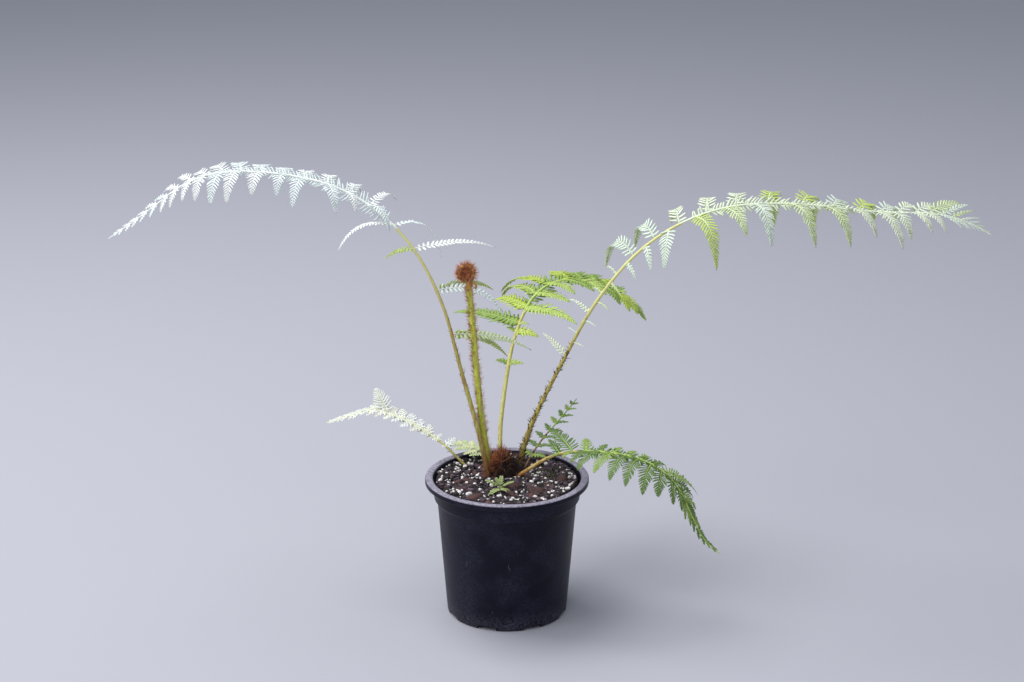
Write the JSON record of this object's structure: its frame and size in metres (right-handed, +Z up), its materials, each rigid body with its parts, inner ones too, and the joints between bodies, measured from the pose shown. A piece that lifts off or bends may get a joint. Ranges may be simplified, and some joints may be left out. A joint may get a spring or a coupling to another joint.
{
  "type": "potted young tree fern",
  "caption": "Young tree fern in a round nursery pot: arching toothed fronds, a furled frond and a hairy crown on potting mix.",
  "frame": {"origin": "centre of the pot's flat underside", "axes": "+Z up; +X towards the right-hand long frond; +Y away from the side the plant is seen from"},
  "size_m": [0.7396, 0.2592, 0.3793],
  "materials": {
    "pot": "satin moulded black with fine dust",
    "soil": "dark bark and peat crumbs with white perlite",
    "crown": "rusty brown hair",
    "coil": "rusty brown hair over a furled tip",
    "stipe": "smooth olive stalk with brown scales",
    "frond_left": "silvery green leaf",
    "frond_right": "pale green leaf",
    "frond_back": "yellow-green leaf",
    "frond_low_right": "deep green leaf",
    "frond_low_left": "cream green leaf",
    "seedling": "small soft green leaf"
  },
  "bodies": {
    "root": {"pot": "pot", "soil": "soil", "crown": "crown", "crozier_stalk": "stipe", "crozier_coil": "coil", "stipe_left": "stipe", "frond_left_rise": "frond_left", "frond_left_arch": "frond_left", "frond_left_tip": "frond_left", "stipe_right": "stipe", "frond_right_rise": "frond_right", "frond_right_arch": "frond_right", "frond_right_tip": "frond_right", "stipe_back": "stipe", "frond_back_rise": "frond_back", "frond_back_arch": "frond_back", "stipe_low_right": "stipe", "frond_low_right_rise": "frond_low_right", "frond_low_right_tip": "frond_low_right", "stipe_low_left": "stipe", "frond_low_left_blade": "frond_low_left", "stipe_small_right": "stipe", "frond_small_right_blade": "frond_low_right", "stipe_small_left": "stipe", "frond_small_left_blade": "frond_low_left", "seedling": "seedling"}
  },
  "joints": []
}
